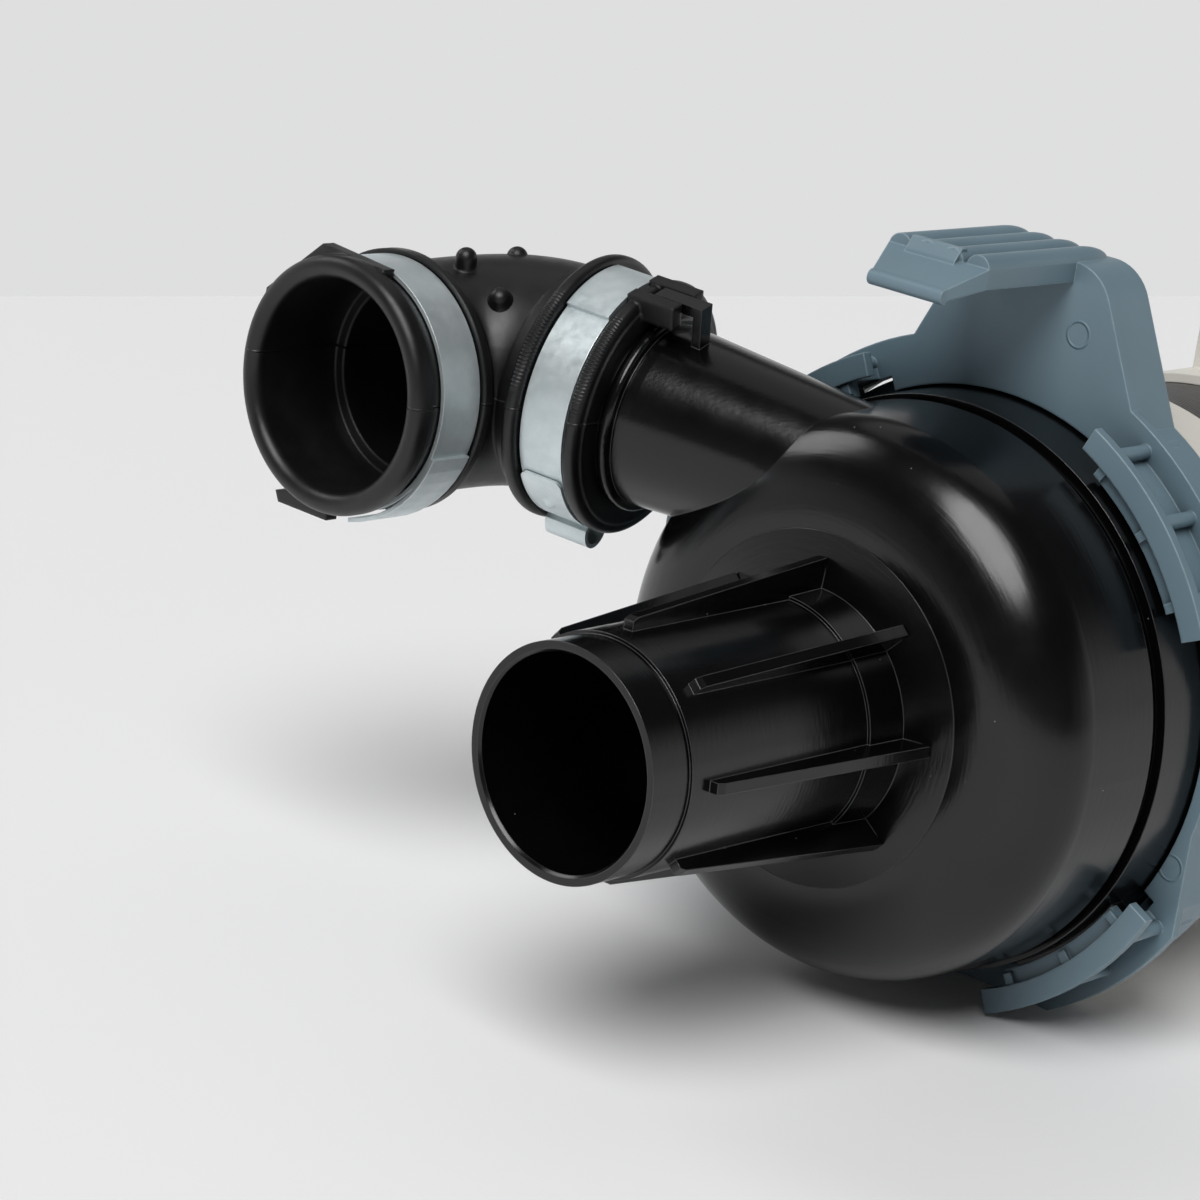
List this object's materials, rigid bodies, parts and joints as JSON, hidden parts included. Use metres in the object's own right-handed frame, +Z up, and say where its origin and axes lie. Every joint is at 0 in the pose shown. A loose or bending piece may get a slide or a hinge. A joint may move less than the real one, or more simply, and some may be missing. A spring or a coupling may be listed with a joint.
{
  "type": "dishwasher pump motor",
  "caption": "Centrifugal wash pump with a ribbed inlet spigot, clamped rubber outlet elbow, hooked clip bracket and a round electric motor behind it.",
  "frame": {"origin": "centre of the inlet spigot's mouth, on the pump's and the motor's axis", "axes": "+Y along the shaft from the inlet towards the motor, +Z up through the bracket's hook, -X towards the side of the outlet pipe"},
  "size_m": [0.1715, 0.205, 0.1368],
  "materials": {
    "blue_grey_plastic": "satin, moulded",
    "black_plastic": "gloss",
    "rubber": "matt, moulded",
    "zinc_steel": "zinc plated, satin",
    "impeller_plastic": "satin, moulded",
    "steel": "ground",
    "ball_steel": "polished",
    "carbon": "lapped",
    "ceramic": "lapped",
    "lamination_steel": "stacked sheet",
    "copper_wire": "enamelled",
    "cream_plastic": "satin, moulded",
    "brass_tabs": "tinned",
    "cast_aluminium": "die cast"
  },
  "bodies": {
    "pump": {"volute_inlet": "black_plastic", "pump_volute": "black_plastic", "cover_seal": "rubber", "rear_cover": "black_plastic", "motor_bracket": "blue_grey_plastic", "outlet_elbow": "rubber", "pipe_clamp": "zinc_steel", "free_end_clamp": "zinc_steel", "seal_seat": "ceramic", "seal_seat_cup": "rubber", "front_bearing_outer_ring": "steel", "rear_bearing_outer_ring": "steel", "wave_washer": "steel", "stator_core": "lamination_steel", "stator_winding": "copper_wire", "front_winding_cover": "cream_plastic", "rear_winding_cover": "cream_plastic", "terminals": "brass_tabs", "rear_end_shield": "cast_aluminium", "through_screws": "steel"},
    "rotor": {"motor_shaft": "steel", "impeller": "impeller_plastic", "impeller_shroud": "impeller_plastic", "impeller_nut": "impeller_plastic", "seal_bellows": "rubber", "seal_ring": "carbon", "slinger": "rubber", "front_bearing_inner_ring": "steel", "rear_bearing_inner_ring": "steel", "retaining_rings": "steel", "rotor_core": "lamination_steel", "rotor_end_rings": "cast_aluminium"},
    "front_cage": {"front_bearing_balls": "ball_steel", "front_bearing_cage": "steel"},
    "rear_cage": {"rear_bearing_balls": "ball_steel", "rear_bearing_cage": "steel"}
  },
  "joints": [
    {"name": "rotor_spin", "type": "hinge", "parent": "pump", "child": "rotor", "pos_m": [0, 0.1155, 0], "axis": [0, 1, 0], "continuous": true},
    {"name": "front_cage_spin", "type": "hinge", "parent": "pump", "child": "front_cage", "pos_m": [0, 0.1155, 0], "axis": [0, 1, 0], "continuous": true},
    {"name": "rear_cage_spin", "type": "hinge", "parent": "pump", "child": "rear_cage", "pos_m": [0, 0.1954, 0], "axis": [0, 1, 0], "continuous": true}
  ],
  "couplings": [
    {"joint": "front_cage_spin", "follows": "rotor_spin", "ratio": 0.37},
    {"joint": "rear_cage_spin", "follows": "rotor_spin", "ratio": 0.37}
  ]
}
